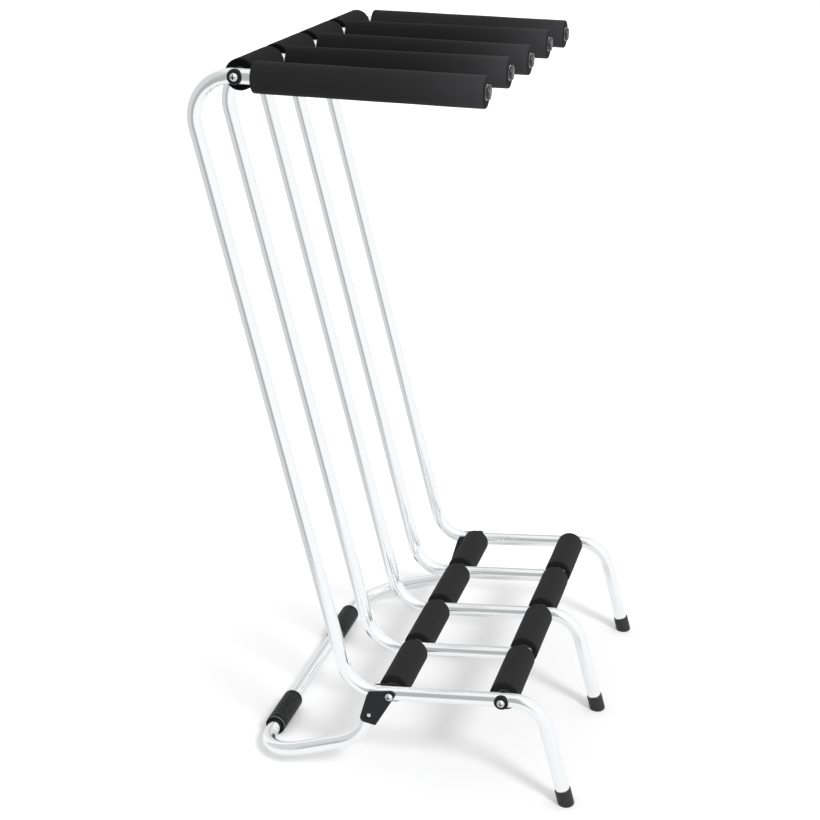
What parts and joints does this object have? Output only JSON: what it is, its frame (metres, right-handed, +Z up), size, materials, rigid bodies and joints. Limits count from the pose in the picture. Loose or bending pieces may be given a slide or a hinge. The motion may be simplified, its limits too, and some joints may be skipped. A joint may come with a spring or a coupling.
{
  "type": "freestanding surfboard rack",
  "caption": "Freestanding surfboard rack of bent tubes: foam-sleeved arms over a foam-sleeved shelf, propped from behind by a fold-away U-shaped base.",
  "frame": {"origin": "on the floor, under the middle of the bounding box", "axes": "+Z up, -Y towards the arms' tips, X across the rack from rail_1 to rail_5"},
  "size_m": [0.773, 0.6819, 1.284],
  "materials": {
    "tube_metal": "polished",
    "sleeve_foam": "matte foam",
    "screw_steel": "zinc plated",
    "bracket_nylon": "moulded matte",
    "grip_rubber": "moulded matte",
    "black_plastic": "moulded satin"
  },
  "bodies": {
    "rack": {"rail_1": "tube_metal", "rail_2": "tube_metal", "rail_3": "tube_metal", "rail_4": "tube_metal", "rail_5": "tube_metal", "top_spacers": "tube_metal", "rear_spacers": "tube_metal", "front_spacers": "tube_metal", "top_tie_rod": "screw_steel", "rear_tie_rod": "screw_steel", "front_tie_rod": "screw_steel", "top_saddles": "black_plastic", "rear_saddles": "black_plastic", "front_saddles": "black_plastic", "pivot_bushes": "black_plastic", "end_screws": "screw_steel", "top_foam_1": "sleeve_foam", "top_foam_2": "sleeve_foam", "top_foam_3": "sleeve_foam", "top_foam_4": "sleeve_foam", "rear_foam_1": "sleeve_foam", "rear_foam_2": "sleeve_foam", "rear_foam_3": "sleeve_foam", "rear_foam_4": "sleeve_foam", "front_foam_1": "sleeve_foam", "front_foam_2": "sleeve_foam", "front_foam_3": "sleeve_foam", "front_foam_4": "sleeve_foam", "arm_foam_1": "sleeve_foam", "arm_foam_2": "sleeve_foam", "arm_foam_3": "sleeve_foam", "arm_foam_4": "sleeve_foam", "arm_foam_5": "sleeve_foam", "arm_plug_1": "black_plastic", "arm_plug_2": "black_plastic", "arm_plug_3": "black_plastic", "arm_plug_4": "black_plastic", "arm_plug_5": "black_plastic", "tail_plug_2": "black_plastic", "tail_plug_4": "black_plastic", "ferrule_1": "black_plastic", "ferrule_3": "black_plastic", "ferrule_5": "black_plastic"},
    "base": {"base_frame": "tube_metal", "bracket_1": "bracket_nylon", "bracket_5": "bracket_nylon", "grip_1": "grip_rubber", "grip_5": "grip_rubber", "bracket_screws": "screw_steel", "bracket_nuts": "screw_steel"}
  },
  "joints": [
    {"name": "base_fold", "type": "hinge", "parent": "rack", "child": "base", "pos_m": [0, -0.00702, 0.176], "axis": [-1, 0, 0], "range_deg": [0, 108]}
  ]
}
